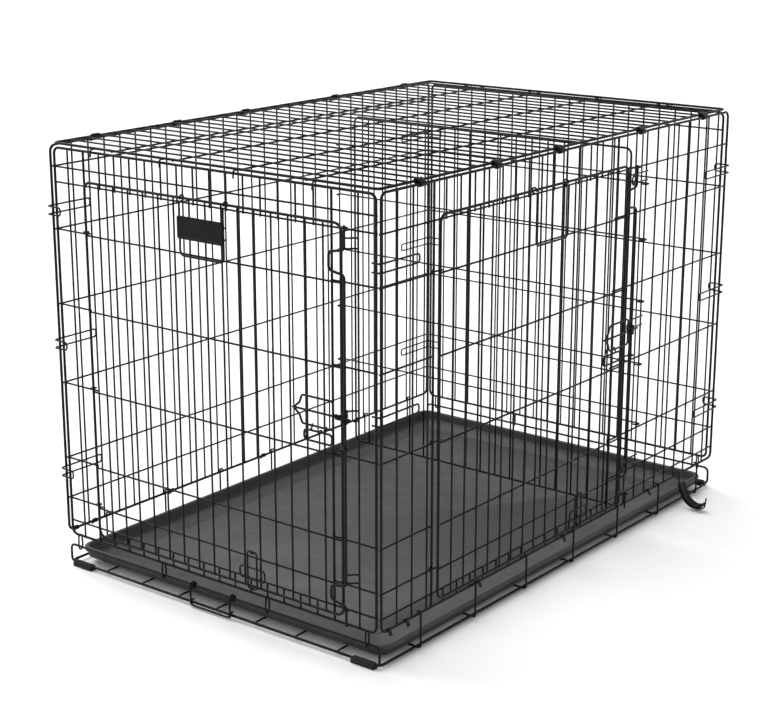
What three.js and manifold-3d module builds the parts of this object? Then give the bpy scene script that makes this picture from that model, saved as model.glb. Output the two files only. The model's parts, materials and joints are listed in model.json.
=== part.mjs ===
// Folding wire dog crate with two doors, a divider, a slide-in tray and its latches. Millimetres, +Z up.
// The front end faces -X and holds one door. The near long side faces -Y and holds the other.
// Every wire is a four-sided rod set on edge, so that wires welded in one plane cross edge to edge.
import * as THREE from "three";
import { mergeVertices } from "three/addons/utils/BufferGeometryUtils.js";
import Module from "manifold-3d";

const wasm = await Module();
wasm.setup();

// Overall size, between the centres of the corner wires.
const LENGTH = 1067;
const WIDTH = 711;
const TOP_Z = 762;

// The whole crate is moved by this much, so that its box is centred on the origin.
const CENTRING = { x: 6.6875, y: 30 };

// Half-diagonals of the wires.
const FRAME_R = 3.125;
const JAMB_R = 2.625;
const MESH_R = 2.125;
const RAIL_R = 2.25; // the long and level wires, which cross the mesh wires
const HARDWARE_R = 2;
const HOOK_R = 1.8125;

// Heights.
const FLOOR_Z = 7;
const LIP_Z = 39;
const END_BOTTOM_Z = 61;
const SIDE_BOTTOM_Z = 64;
const END_TOP_Z = 753;
const SIDE_TOP_Z = 757;
const OPENING_Z = [85, 698];
const DOOR_Z = [76.5, 705];
const HIGH_RAIL_Z = 722;
const MAIN_RAILS_Z = [202, 340, 482, 614];
const LOW_RAIL_Z = 127;

// Plan. The walls without a door, the top and the divider hold every second wire of their weave.
const SPARSE = 2;
const END_INSET = 9.5; // end panels stand between the long sides
const SIDE_PITCH = 37.75;
const SIDE_UPRIGHTS = 27;
const END_PITCH = 35.7;
const REAR_GAPS = 20;
const TOP_GAPS = 30;
const DIVIDER_GAPS = 18;
const DOOR = { width: 553, gaps: 16, out: 7 };
const OPENING = { before: 7.5, width: 536.5 };
const FRONT_DOOR_S = 88;
const SIDE_DOOR_S = 137;

const COLOURS = {
  wire: { color: 0x1b1b1c, roughness: 0.35, metalness: 0.3 },
  tray: { color: 0x3c3b3b, roughness: 0.6, metalness: 0 },
  plastic: { color: 0x232324, roughness: 0.5, metalness: 0 },
  rubber: { color: 0x161616, roughness: 0.85, metalness: 0 },
};

// Points lie on a fine grid that 32-bit numbers hold exactly, so that wires in one plane stay in it.
const GRID = 1 / 32;
const snap = (value) => Math.round(value / GRID) * GRID;
const V = (x, y, z) => new THREE.Vector3(snap(x), snap(y), snap(z));

// ---------- solids ----------

function solid(geometry, tidy) {
  const plain = geometry.clone();
  plain.deleteAttribute("normal");
  plain.deleteAttribute("uv");
  if (tidy) tidy(plain.attributes.position);
  const merged = mergeVertices(plain, 1e-4);
  return new wasm.Manifold(
    new wasm.Mesh({
      numProp: 3,
      vertProperties: merged.attributes.position.array,
      triVerts: new Uint32Array(merged.index.array),
    }),
  );
}

function geometryOf(body) {
  const { vertProperties, triVerts } = body.getMesh();
  const geometry = new THREE.BufferGeometry();
  geometry.setAttribute("position", new THREE.BufferAttribute(new Float32Array(vertProperties), 3));
  geometry.setIndex(new THREE.BufferAttribute(new Uint32Array(triVerts), 1));
  geometry.computeVertexNormals();
  return geometry;
}

// Joins pieces, and drops the flat leftovers that wires crossing exactly edge to edge can leave.
function join(bodies) {
  const whole = bodies.reduce((all, body) => all.add(body));
  return whole.decompose().reduce((most, body) => (body.volume() > most.volume() ? body : most));
}

// Straight wires keep their edges exactly on half steps of the grid.
function snapped(position) {
  for (let i = 0; i < position.array.length; i++) {
    position.array[i] = Math.round((2 * position.array[i]) / GRID) * (GRID / 2);
  }
}

// A straight wire between two points along one axis.
function bar(from, to, r) {
  const along = to.clone().sub(from);
  const geometry = new THREE.CylinderGeometry(r, r, along.length(), 4, 1);
  geometry.applyQuaternion(
    new THREE.Quaternion().setFromUnitVectors(V(0, 1, 0), along.normalize()),
  );
  const middle = from.clone().add(to).multiplyScalar(0.5);
  return solid(geometry.translate(middle.x, middle.y, middle.z), snapped);
}

// A wire bent in one plane, whose normal is flat. Its corners are mitred, or planar when it is closed.
function bent(points, flat, r, closed = false) {
  const count = points.length;
  const positions = [];
  points.forEach((point, i) => {
    const before = points[closed ? (i + count - 1) % count : Math.max(i - 1, 0)];
    const after = points[closed ? (i + 1) % count : Math.min(i + 1, count - 1)];
    const incoming = point.clone().sub(before).normalize();
    const outgoing = after.clone().sub(point).normalize();
    const tangent = incoming.clone().add(outgoing).normalize();
    const side = V(0, 0, 0).crossVectors(flat, tangent).normalize();
    const straight = incoming.lengthSq() ? incoming : outgoing;
    const stretch = r / Math.max(tangent.dot(straight), 0.5);
    for (const [n, s] of [[r, 0], [0, stretch], [-r, 0], [0, -stretch]]) {
      const corner = point.clone().addScaledVector(flat, n).addScaledVector(side, s);
      positions.push(...corner.toArray());
    }
  });
  const index = [];
  const rings = closed ? count : count - 1;
  for (let i = 0; i < rings; i++) {
    const a = 4 * i;
    const b = 4 * ((i + 1) % count);
    for (let k = 0; k < 4; k++) {
      const l = (k + 1) % 4;
      index.push(a + k, a + l, b + l, a + k, b + l, b + k);
    }
  }
  if (!closed) {
    const last = 4 * (count - 1);
    index.push(0, 2, 1, 0, 3, 2, last, last + 1, last + 2, last, last + 2, last + 3);
  }
  const geometry = new THREE.BufferGeometry();
  geometry.setAttribute("position", new THREE.Float32BufferAttribute(positions, 3));
  geometry.setIndex(index);
  const made = solid(geometry);
  if (made.volume() > 0) return made;
  geometry.setIndex(index.reverse());
  return solid(geometry);
}

// A closed wire rectangle with cut corners, in the plane spanned by two unit vectors.
function frameLoop(origin, across, up, width, height, cut, r) {
  const at = (a, b) => origin.clone().addScaledVector(across, a).addScaledVector(up, b);
  const corners = [
    at(cut, 0), at(width - cut, 0), at(width, cut), at(width, height - cut),
    at(width - cut, height), at(cut, height), at(0, height - cut), at(0, cut),
  ];
  return bent(corners, V(0, 0, 0).crossVectors(across, up), r, true);
}

// A round eye of wire about an axis: straight sides, with a corner towards first.
function eye(centre, axis, first, radius, r, sides = 6) {
  const second = V(0, 0, 0).crossVectors(axis, first);
  const points = Array.from({ length: sides }, (_, i) => {
    const angle = (2 * i * Math.PI) / sides;
    return centre
      .clone()
      .addScaledVector(first, radius * Math.cos(angle))
      .addScaledVector(second, radius * Math.sin(angle));
  });
  return bent(points, axis, r, true);
}

function extruded(outline, depth, holes = []) {
  const shape = new THREE.Shape(outline.map(([x, y]) => new THREE.Vector2(x, y)));
  for (const hole of holes) {
    shape.holes.push(new THREE.Path(hole.map(([x, y]) => new THREE.Vector2(x, y))));
  }
  return new THREE.ExtrudeGeometry(shape, { depth, bevelEnabled: false, steps: 1 });
}

// ---------- scene helpers ----------

const crate = new THREE.Group();
crate.position.set(CENTRING.x, CENTRING.y, 0);

function addNode(group, name, look, body) {
  const geometry = body.isBufferGeometry ? body : geometryOf(body);
  const mesh = new THREE.Mesh(geometry, new THREE.MeshStandardMaterial(COLOURS[look]));
  mesh.name = name;
  group.add(mesh);
  return mesh;
}

// A wall's own frame: +X along the wall from its left corner, seen from outside, -Y outwards.
function wallGroup(x, y, turn) {
  const group = new THREE.Group();
  group.position.set(x, y, 0);
  group.rotation.z = turn;
  crate.add(group);
  return group;
}

const walls = {
  front: wallGroup(-LENGTH / 2, WIDTH / 2, -Math.PI / 2),
  near: wallGroup(-LENGTH / 2, -WIDTH / 2, 0),
  rear: wallGroup(LENGTH / 2, -WIDTH / 2, Math.PI / 2),
  far: wallGroup(LENGTH / 2, WIDTH / 2, Math.PI),
};

// Upright and level wires in a wall's plane; y is the distance out of it.
const upright = (s, low, high, r = MESH_R, y = 0) => bar(V(s, y, low), V(s, y, high), r);
const level = (z, from, to, r = RAIL_R, y = 0) => bar(V(from, y, z), V(to, y, z), r);

const WALL_CUT = 8;

function wallFrame(left, right, bottom, top, cut = WALL_CUT) {
  return frameLoop(V(left, 0, bottom), V(1, 0, 0), V(0, 0, 1), right - left, top - bottom, cut, FRAME_R);
}

// ---------- wall panels ----------

// The wires of a wall with a doorway. door is where the door's hinge side starts.
function doorwayWires(left, right, bottom, top, door, fullUprights, stubs) {
  const jambs = [door - OPENING.before, door - OPENING.before + OPENING.width];
  const bodies = [wallFrame(left, right, bottom, top)];
  for (const s of jambs) bodies.push(upright(s, bottom, top, JAMB_R));
  for (const s of fullUprights) bodies.push(upright(s, bottom, top));
  for (const s of stubs) {
    bodies.push(upright(s, bottom, OPENING_Z[0]));
    bodies.push(upright(s, OPENING_Z[1], top));
  }
  for (const z of OPENING_Z) bodies.push(level(z, left, right));
  for (const z of [LOW_RAIL_Z, ...MAIN_RAILS_Z]) {
    bodies.push(level(z, left, jambs[0]));
    bodies.push(level(z, jambs[1], right));
  }
  return bodies;
}

// Keepers: wire loops welded on the margin beside a door, which step out beside the latch rod.
const KEEPERS = [
  { low: 670, high: 686 },
  { low: 403, high: 419 },
  { low: 138, high: 152 },
];
const KEEPER = { near: 3, out: 12.3 };

function keeperLoops(doorEdge, rootS) {
  return KEEPERS.map(({ low, high }) => {
    const leg = (z) => [
      V(rootS, -KEEPER.near, z),
      V(doorEdge + 22, -KEEPER.near, z),
      V(doorEdge + 16, -KEEPER.out, z),
      V(doorEdge + 6.5, -KEEPER.out, z),
    ];
    const lower = bent(leg(low), V(0, 0, 1), HOOK_R);
    const upper = bent(leg(high), V(0, 0, 1), HOOK_R);
    const closing = upright(doorEdge + 6.5, low - 1, high + 1, HOOK_R, -KEEPER.out);
    return join([lower, upper, closing]);
  });
}

// Eyes on the bottom wire of an end panel, which turn on the floor's lip wire.
const LIP_EYES_S = [28, 237, 474, 683];
const LIP_EYE_R = 5.7;

function lipEyes() {
  return LIP_EYES_S.flatMap((s) => [
    eye(V(s, 0, LIP_Z), V(1, 0, 0), V(0, 1, 0), LIP_EYE_R, HOOK_R),
    upright(s, LIP_Z + LIP_EYE_R - 1, END_BOTTOM_Z, HOOK_R),
  ]);
}

const endLeft = END_INSET;
const endRight = WIDTH - END_INSET;
const frontDoorEdge = FRONT_DOOR_S + DOOR.width;
const sideDoorEdge = SIDE_DOOR_S + DOOR.width;

function frontPanel() {
  const stubs = Array.from({ length: 14 }, (_, i) => FRONT_DOOR_S - OPENING.before + (i + 1) * END_PITCH);
  const wires = doorwayWires(endLeft, endRight, END_BOTTOM_Z, END_TOP_Z, FRONT_DOOR_S, [42, 668], stubs);
  const highRail = level(HIGH_RAIL_Z, endLeft, endRight);
  return join([...wires, highRail, ...keeperLoops(frontDoorEdge, 669), ...lipEyes()]);
}

function rearPanel() {
  const bodies = [wallFrame(endLeft, endRight, END_BOTTOM_Z, END_TOP_Z)];
  const gap = (endRight - endLeft) / REAR_GAPS;
  for (let k = SPARSE; k < REAR_GAPS; k += SPARSE) {
    bodies.push(upright(endLeft + k * gap, END_BOTTOM_Z, END_TOP_Z));
  }
  for (const z of MAIN_RAILS_Z) bodies.push(level(z, endLeft, endRight));
  return join([...bodies, ...lipEyes()]);
}

// Corner clips: flat wire loops on the long sides, whose ends hook round the end panels' posts.
const CLIPS_Z = [176, 411, 647];
const CLIP = { height: 14, reach: 88, out: 4.4, past: 9 };

function cornerClips(cornerS, inwards) {
  const tipS = cornerS - inwards * CLIP.past;
  return CLIPS_Z.flatMap((z) => {
    const low = z - CLIP.height / 2;
    const high = z + CLIP.height / 2;
    const wires = [low, high].map((level) =>
      bent(
        [
          V(cornerS + inwards * CLIP.reach, -CLIP.out, level),
          V(tipS, -CLIP.out, level),
          V(tipS, 11, level),
        ],
        V(0, 0, 1),
        HOOK_R,
      ),
    );
    const endS = cornerS + inwards * CLIP.reach;
    return [...wires, upright(endS, low - 1, high + 1, HOOK_R, -CLIP.out)];
  });
}

const sideGrid = (from, to) =>
  Array.from({ length: to - from + 1 }, (_, i) => LENGTH - (from + i) * SIDE_PITCH);

function nearPanel() {
  const full = [38.75, 77.5, 116.25, ...sideGrid(1, 9)];
  const wires = doorwayWires(0, LENGTH, SIDE_BOTTOM_Z, SIDE_TOP_Z, SIDE_DOOR_S, full, sideGrid(11, 24));
  const clips = [...cornerClips(0, 1), ...cornerClips(LENGTH, -1)];
  return join([...wires, ...keeperLoops(sideDoorEdge, sideGrid(8, 8)[0] + 1), ...clips]);
}

function farPanel() {
  const bodies = [wallFrame(0, LENGTH, SIDE_BOTTOM_Z, SIDE_TOP_Z)];
  // Seen from outside, this wall runs from the rear corner to the front one.
  for (let k = SPARSE; k <= SIDE_UPRIGHTS; k += SPARSE) {
    bodies.push(upright(k * SIDE_PITCH, SIDE_BOTTOM_Z, SIDE_TOP_Z));
  }
  for (const z of MAIN_RAILS_Z) bodies.push(level(z, 0, LENGTH));
  return join([...bodies, ...cornerClips(0, 1), ...cornerClips(LENGTH, -1)]);
}

addNode(walls.front, "front_panel", "wire", frontPanel());
addNode(walls.near, "near_side_panel", "wire", nearPanel());
addNode(walls.rear, "rear_panel", "wire", rearPanel());
addNode(walls.far, "far_side_panel", "wire", farPanel());

// ---------- doors with their latches, catches and bails ----------

const ROD = { past: 14, out: 17.2, r: 2.6, crank: 30, top: 706, bottom: 66 };
const CRANKS_Z = [[104, 130], [634, 664]];
const HANDLE_Z = 409;

function doorWires() {
  const bodies = [wallFrame(0, DOOR.width, ...DOOR_Z, 10)];
  for (let k = 1; k < DOOR.gaps; k++) bodies.push(upright((k * DOOR.width) / DOOR.gaps, ...DOOR_Z));
  for (const z of [LOW_RAIL_Z, ...MAIN_RAILS_Z]) bodies.push(level(z, 0, DOOR.width));
  return [...bodies, ...rodGuides(), ...hingeEyes()];
}

// Guides: eyes on short arms at the door's latch edge, in which the rod slides.
const GUIDES = [{ z: 702, from: 7 }, { z: 360, from: 0 }, { z: 94.5, from: 0 }];

function rodGuides() {
  return GUIDES.flatMap(({ z, from }) => {
    const rodY = -(ROD.out - DOOR.out);
    const centre = V(DOOR.width + ROD.past, rodY, z);
    const arm = [V(DOOR.width - from, 0, z), V(DOOR.width + 4.5, rodY, z), centre.clone().add(V(-5, 0, 0))];
    return [eye(centre, V(0, 0, 1), V(1, 0, 0), 5.6, HOOK_R), bent(arm, V(0, 0, 1), HOOK_R)];
  });
}

// Hinge eyes: the door's level wires curl round the jamb, which runs behind the door's hinge side.
const HINGE_EYE = { s: -OPENING.before, y: DOOR.out, radius: 5.05, r: 1.5, zs: [131.25, 344.25, 618.25] };

function hingeEyes() {
  return HINGE_EYE.zs.flatMap((z) => [
    eye(V(HINGE_EYE.s, HINGE_EYE.y, z), V(0, 0, 1), V(1, 0, 0), HINGE_EYE.radius, HINGE_EYE.r),
    bent([V(0, 0, z), V(HINGE_EYE.s + 3.3, HINGE_EYE.y - 4.1, z)], V(0, 0, 1), HINGE_EYE.r),
  ]);
}

// The latch rod: upright, cranked towards the door above its lower end and below its upper one.
function rodBody() {
  const s = DOOR.width + ROD.past;
  const y = -(ROD.out - DOOR.out);
  const points = [V(s, y, ROD.bottom)];
  for (const [low, high] of CRANKS_Z) {
    points.push(V(s, y, low - 5), V(s - ROD.crank + 5, y, low), V(s - ROD.crank, y, low + 5));
    points.push(V(s - ROD.crank, y, high - 5), V(s - ROD.crank + 5, y, high), V(s, y, high + 5));
  }
  points.push(V(s, y, ROD.top));
  return bent(points, V(0, 1, 0), ROD.r);
}

// The paddle: two flat wire loops that share a middle wire, which runs on as the centre bolt.
function paddleBody() {
  const y = -(ROD.out - DOOR.out + ROD.r + HARDWARE_R + 0.4);
  const tip = DOOR.width - 85;
  const end = DOOR.width - 14;
  const half = 23;
  const outline = [
    V(tip, y, HANDLE_Z), V(tip + 16, y, HANDLE_Z + half), V(end, y, HANDLE_Z + half),
    V(end + 8, y, HANDLE_Z + half - 8), V(end + 8, y, HANDLE_Z - half + 8),
    V(end, y, HANDLE_Z - half), V(tip + 16, y, HANDLE_Z - half),
  ];
  const bolt = level(HANDLE_Z, tip, DOOR.width + 28, HARDWARE_R, y);
  return join([bent(outline, V(0, 1, 0), HARDWARE_R, true), bolt]);
}

// A finger loop below the paddle, in front of the door's wires.
function fingerLoopBody() {
  const y = -(FRAME_R + HARDWARE_R + 0.5);
  return frameLoop(V(DOOR.width - 72, y, 357), V(1, 0, 0), V(0, 0, 1), 56, 17, 6, HARDWARE_R);
}

// The bottom catch: an upright loop crossed by a level one.
function catchBody(s) {
  const y = -(FRAME_R + HOOK_R + 1);
  const tall = frameLoop(V(s - 10, y, 74), V(1, 0, 0), V(0, 0, 1), 20, 66, 6, HOOK_R);
  const wide = frameLoop(V(s - 27, y, 91), V(1, 0, 0), V(0, 0, 1), 54, 20, 6, HOOK_R);
  return join([tall, wide]);
}

// A bail: a wire stirrup whose eyes hang on the door's top wire.
const BAIL = { width: 95, drop: 92, out: 6, eye: 5.65 };

function bailBody(s) {
  const top = DOOR_Z[1];
  const left = s - BAIL.width / 2;
  const right = s + BAIL.width / 2;
  const low = top - BAIL.drop;
  const stirrup = bent(
    [
      V(left, -BAIL.out, top - 3), V(left, -BAIL.out, low + 6), V(left + 6, -BAIL.out, low),
      V(right - 6, -BAIL.out, low), V(right, -BAIL.out, low + 6), V(right, -BAIL.out, top - 3),
    ],
    V(0, 1, 0),
    HARDWARE_R,
  );
  const eyes = [left, right].map((at) => eye(V(at, 0, top), V(1, 0, 0), V(0, 0, 1), BAIL.eye, HOOK_R, 8));
  return join([stirrup, ...eyes]);
}

const BAIL_S = { front: 272.5, side: 303 };
const CATCH_S = { front: 365, side: 412 };
const PLATE = { width: 99, height: 37.5, thick: 2.6, z: 641 };

function addDoor(wall, doorS, label, rodName) {
  const group = new THREE.Group();
  group.position.set(doorS, -DOOR.out, 0);
  wall.add(group);
  addNode(group, `${label}_door`, "wire", join(doorWires()));
  addNode(group, `${label}_latch_rod`, "wire", rodBody());
  addNode(group, `${label}_latch_paddle`, "wire", paddleBody());
  addNode(group, `${label}_finger_loop`, "wire", fingerLoopBody());
  addNode(group, `${label}_bottom_catch`, "wire", catchBody(CATCH_S[label]));
  addNode(group, `${label}_bail`, "wire", bailBody(BAIL_S[label]));
  return group;
}

const frontDoor = addDoor(walls.front, FRONT_DOOR_S, "front");
addDoor(walls.near, SIDE_DOOR_S, "side");

const plate = new THREE.BoxGeometry(PLATE.width, PLATE.thick, PLATE.height);
const plateMesh = addNode(frontDoor, "nameplate", "plastic", plate);
plateMesh.position.set(
  BAIL_S.front,
  -(BAIL.out + HARDWARE_R + 0.4 + PLATE.thick / 2),
  PLATE.z + PLATE.height / 2,
);

// ---------- floor, top, divider ----------

const CROSS = { first: 95, pitch: 151.25, count: 7 };
const FLOOR_EDGE_Y = WIDTH / 2 - 3.5;
const FLOOR_PITCH = 88;

function floorPanel() {
  const halfX = LENGTH / 2;
  const bodies = [
    frameLoop(
      V(-halfX, -FLOOR_EDGE_Y, FLOOR_Z), V(1, 0, 0), V(0, 1, 0), LENGTH, 2 * FLOOR_EDGE_Y, WALL_CUT, FRAME_R,
    ),
  ];
  for (let k = -3; k <= 3; k++) {
    const y = k * FLOOR_PITCH;
    bodies.push(bar(V(-halfX, y, FLOOR_Z), V(halfX, y, FLOOR_Z), RAIL_R));
  }
  // Cross wires turn up outside the long sides and hook over their bottom wires.
  const outY = WIDTH / 2 + 5.65;
  const inY = WIDTH / 2 - 3;
  const hookZ = SIDE_BOTTOM_Z + 5.65;
  for (let k = 0; k < CROSS.count; k++) {
    const x = CROSS.first + k * CROSS.pitch - halfX;
    const half = (sign) => [
      V(x, sign * inY, hookZ), V(x, sign * outY, hookZ), V(x, sign * outY, FLOOR_Z),
    ];
    bodies.push(bent([...half(-1), ...half(1).reverse()], V(1, 0, 0), MESH_R));
  }
  // Lips at both ends: a level wire on two corner uprights, for the end panels' eyes.
  for (const x of [-halfX, halfX]) {
    const y = FLOOR_EDGE_Y - 8;
    const lip = [V(x, -y - 8, LIP_Z - 8), V(x, -y, LIP_Z), V(x, y, LIP_Z), V(x, y + 8, LIP_Z - 8)];
    const foot = (side) => [V(x, side * (y - 2), FLOOR_Z), V(x, side * (y + 8), FLOOR_Z + 10)];
    bodies.push(bent([...foot(-1), ...lip, ...foot(1).reverse()], V(1, 0, 0), JAMB_R));
  }
  return join(bodies);
}

const TOP_EDGE = { x: LENGTH / 2 - 3, y: WIDTH / 2 - 8 };

function topPanel() {
  const bodies = [
    frameLoop(
      V(-TOP_EDGE.x, -TOP_EDGE.y, TOP_Z), V(1, 0, 0), V(0, 1, 0), 2 * TOP_EDGE.x, 2 * TOP_EDGE.y, 20, FRAME_R,
    ),
  ];
  for (let k = SPARSE; k < TOP_GAPS; k += SPARSE) {
    const x = (k * 2 * TOP_EDGE.x) / TOP_GAPS - TOP_EDGE.x;
    bodies.push(bar(V(x, -TOP_EDGE.y, TOP_Z), V(x, TOP_EDGE.y, TOP_Z), MESH_R));
  }
  for (const share of [-0.6, -0.2, 0.2, 0.6]) {
    const y = share * TOP_EDGE.y;
    bodies.push(bar(V(-TOP_EDGE.x, y, TOP_Z), V(TOP_EDGE.x, y, TOP_Z), RAIL_R));
  }
  return join(bodies);
}

// The divider stands beside an upright of each long side, and its level wires hook round it.
const DIVIDER = { x: LENGTH / 2 - 8 * SIDE_PITCH + 6.2, halfWidth: 320, low: 38, top: 721 };
const DIVIDER_RAILS_Z = [211, 326, 445, 560, 662];

function dividerPanel() {
  const { x, halfWidth, low, top } = DIVIDER;
  const bodies = [
    frameLoop(V(x, -halfWidth, low), V(0, 1, 0), V(0, 0, 1), 2 * halfWidth, top - low, 12, JAMB_R),
  ];
  const gap = (2 * halfWidth) / DIVIDER_GAPS;
  for (let k = SPARSE; k < DIVIDER_GAPS; k += SPARSE) {
    bodies.push(bar(V(x, -halfWidth + k * gap, low), V(x, -halfWidth + k * gap, top), MESH_R));
  }
  const outY = WIDTH / 2 + 4.6;
  for (const z of DIVIDER_RAILS_Z) {
    const hook = (sign) => [
      V(x - 12, sign * (outY - 9), z), V(x - 12, sign * outY, z), V(x, sign * outY, z),
    ];
    bodies.push(bent([...hook(-1), ...hook(1).reverse()], V(0, 0, 1), HOOK_R));
  }
  return join(bodies);
}

addNode(crate, "floor_panel", "wire", floorPanel());
addNode(crate, "top_panel", "wire", topPanel());
addNode(crate, "divider_panel", "wire", dividerPanel());

// ---------- tray and its stop ----------

const TRAY = { halfX: 519, halfY: 350, bottom: 11, rim: 31, corner: 24, draft: 5.5, rimWidth: 9, wall: 2.5 };

function roundedRing(halfX, halfY, corner, z) {
  const ring = [];
  const steps = 4;
  for (let q = 0; q < 4; q++) {
    const cx = (q === 0 || q === 3 ? 1 : -1) * (halfX - corner);
    const cy = (q < 2 ? 1 : -1) * (halfY - corner);
    for (let i = 0; i <= steps; i++) {
      const angle = (q + i / steps) * (Math.PI / 2);
      ring.push([cx + corner * Math.cos(angle), cy + corner * Math.sin(angle), z]);
    }
  }
  return ring;
}

function trayBody() {
  const { halfX, halfY, bottom, rim, corner, draft, rimWidth, wall } = TRAY;
  const at = (inset, z) => roundedRing(halfX - inset, halfY - inset, corner - inset, z);
  const rings = [
    at(draft + wall, bottom),
    at(rimWidth - wall, rim - 5),
    at(0, rim - 5),
    at(0, rim),
    at(rimWidth, rim),
    at(draft + 2 * wall, bottom + wall),
  ];
  const per = rings[0].length;
  const index = [];
  for (let r = 0; r + 1 < rings.length; r++) {
    for (let i = 0; i < per; i++) {
      const j = (i + 1) % per;
      const [a, b] = [r * per, (r + 1) * per];
      index.push(a + i, a + j, b + j, a + i, b + j, b + i);
    }
  }
  const last = (rings.length - 1) * per;
  for (let i = 1; i + 1 < per; i++) {
    index.push(0, i + 1, i);
    index.push(last, last + i, last + i + 1);
  }
  const geometry = new THREE.BufferGeometry();
  geometry.setAttribute("position", new THREE.Float32BufferAttribute(rings.flat(2), 3));
  geometry.setIndex(index);
  return solid(geometry);
}

addNode(crate, "tray", "tray", trayBody());

// The tray stop: a stirrup on the front lip, which hangs in front of the tray and swings up and out.
const STOP = { s: [305, 395], out: 6.5, low: 4.5, eye: 5.8 };

function trayStopBody() {
  const [left, right] = STOP.s;
  const high = LIP_Z - 3;
  const stirrup = bent(
    [
      V(left, -STOP.out, high), V(left, -STOP.out, STOP.low),
      V(right, -STOP.out, STOP.low), V(right, -STOP.out, high),
    ],
    V(0, 1, 0),
    HARDWARE_R,
  );
  const eyes = STOP.s.map((s) => eye(V(s, 0, LIP_Z), V(1, 0, 0), V(0, 1, 0), STOP.eye, HARDWARE_R));
  return join([stirrup, ...eyes]);
}

addNode(walls.front, "tray_stop", "wire", trayStopBody());

// ---------- feet, clips, carry handle ----------

const FOOT = { length: 46, first: 12 };

function footBody() {
  const outline = [
    [-6.5, 0], [6.5, 0], [6.5, 4], [0.9, 4], [0, 3.3], [-3.6, 7], [-6.5, 7],
  ];
  const geometry = extruded(outline, FOOT.length);
  return solid(geometry.rotateX(Math.PI / 2).rotateZ(Math.PI / 2));
}

for (const [wall, label] of [[walls.front, "front"], [walls.rear, "rear"]]) {
  for (const [s, side] of [[FOOT.first, "left"], [WIDTH - FOOT.first - FOOT.length, "right"]]) {
    const foot = addNode(wall, `foot_${label}_${side}`, "rubber", footBody());
    foot.position.set(s, 0, 0);
  }
}

// A clip: a flattened ring of strip round two neighbouring wires.
function clipBody(offset, length) {
  const reach = FRAME_R + 1.1;
  const thick = 1.5;
  const along = offset.clone().normalize();
  const across = new THREE.Vector2(-along.y, along.x);
  const ring = (grow) => {
    const wide = reach + grow;
    const far = offset.length();
    const corners = [
      [-wide, -0.5 * wide], [-0.5 * wide, -wide], [far + 0.5 * wide, -wide], [far + wide, -0.5 * wide],
      [far + wide, 0.5 * wide], [far + 0.5 * wide, wide], [-0.5 * wide, wide], [-wide, 0.5 * wide],
    ];
    return corners.map(([a, b]) => [a * along.x + b * across.x, a * along.y + b * across.y]);
  };
  return extruded(ring(thick), length, [ring(0)]);
}

const TOP_CLIPS_X = [-443, -243, -60, 204, 431];
const CLIP_LENGTH = 16;

for (const side of [-1, 1]) {
  const offset = new THREE.Vector2(-side * (WIDTH / 2 - TOP_EDGE.y), TOP_Z - SIDE_TOP_Z);
  TOP_CLIPS_X.forEach((x, i) => {
    const clip = clipBody(offset, CLIP_LENGTH).rotateX(Math.PI / 2).rotateZ(Math.PI / 2);
    const label = side < 0 ? "near" : "far";
    const mesh = addNode(crate, `top_clip_${label}_${i + 1}`, "wire", solid(clip));
    mesh.position.set(x, side * (WIDTH / 2), SIDE_TOP_Z);
  });
}

// The carry handle: a plastic grip beside a bent wire, which hangs on the near side's bottom wire.
const HANDLE = { s: 932, width: 16, halfThick: 3.2 };
const GRIP_PATH = [[-10, 50], [-15, 35], [-25, 19], [-38, 10.5], [-51, 9.5], [-60, 15]];

// The grip's centre line, moved sideways: positive is the side towards the crate.
function gripSide(distance) {
  return GRIP_PATH.map((point, i) => {
    const before = GRIP_PATH[Math.max(i - 1, 0)];
    const after = GRIP_PATH[Math.min(i + 1, GRIP_PATH.length - 1)];
    const run = new THREE.Vector2(after[0] - before[0], after[1] - before[1]).normalize();
    return [point[0] - run.y * distance, point[1] + run.x * distance];
  });
}

function gripBody() {
  const outline = [...gripSide(HANDLE.halfThick), ...gripSide(-HANDLE.halfThick).reverse()];
  const grip = extruded(outline, HANDLE.width).rotateX(Math.PI / 2).rotateZ(Math.PI / 2);
  return solid(grip.translate(-HANDLE.width / 2, 0, 0));
}

function handleWireBody() {
  const beside = gripSide(HANDLE.halfThick + HOOK_R + 1.3).map(([y, z]) => V(0, y, z));
  const path = [V(0, -6, SIDE_BOTTOM_Z - 2), ...beside, V(0, -66, 30)];
  return join([
    bent(path, V(1, 0, 0), HOOK_R),
    eye(V(0, 0, SIDE_BOTTOM_Z), V(1, 0, 0), V(0, 0, 1), 6.8, HOOK_R),
  ]);
}

for (const [name, look, body] of [
  ["carry_handle_grip", "plastic", gripBody()],
  ["carry_handle_wire", "wire", handleWireBody()],
]) {
  addNode(walls.near, name, look, body).position.set(HANDLE.s, 0, 0);
}

export default crate;
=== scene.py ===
"""Looks for the folding wire dog crate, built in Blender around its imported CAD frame.

Lengths in this file are in millimetres and become metres where a mesh is made. The crate's planes and pivots
come from the frame's joints and nodes. Every wire is a round tube, and each panel's wires make one piece.
"""

import json
import math

import bmesh
import bpy
import numpy as np
from mathutils import Matrix, Vector


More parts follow.
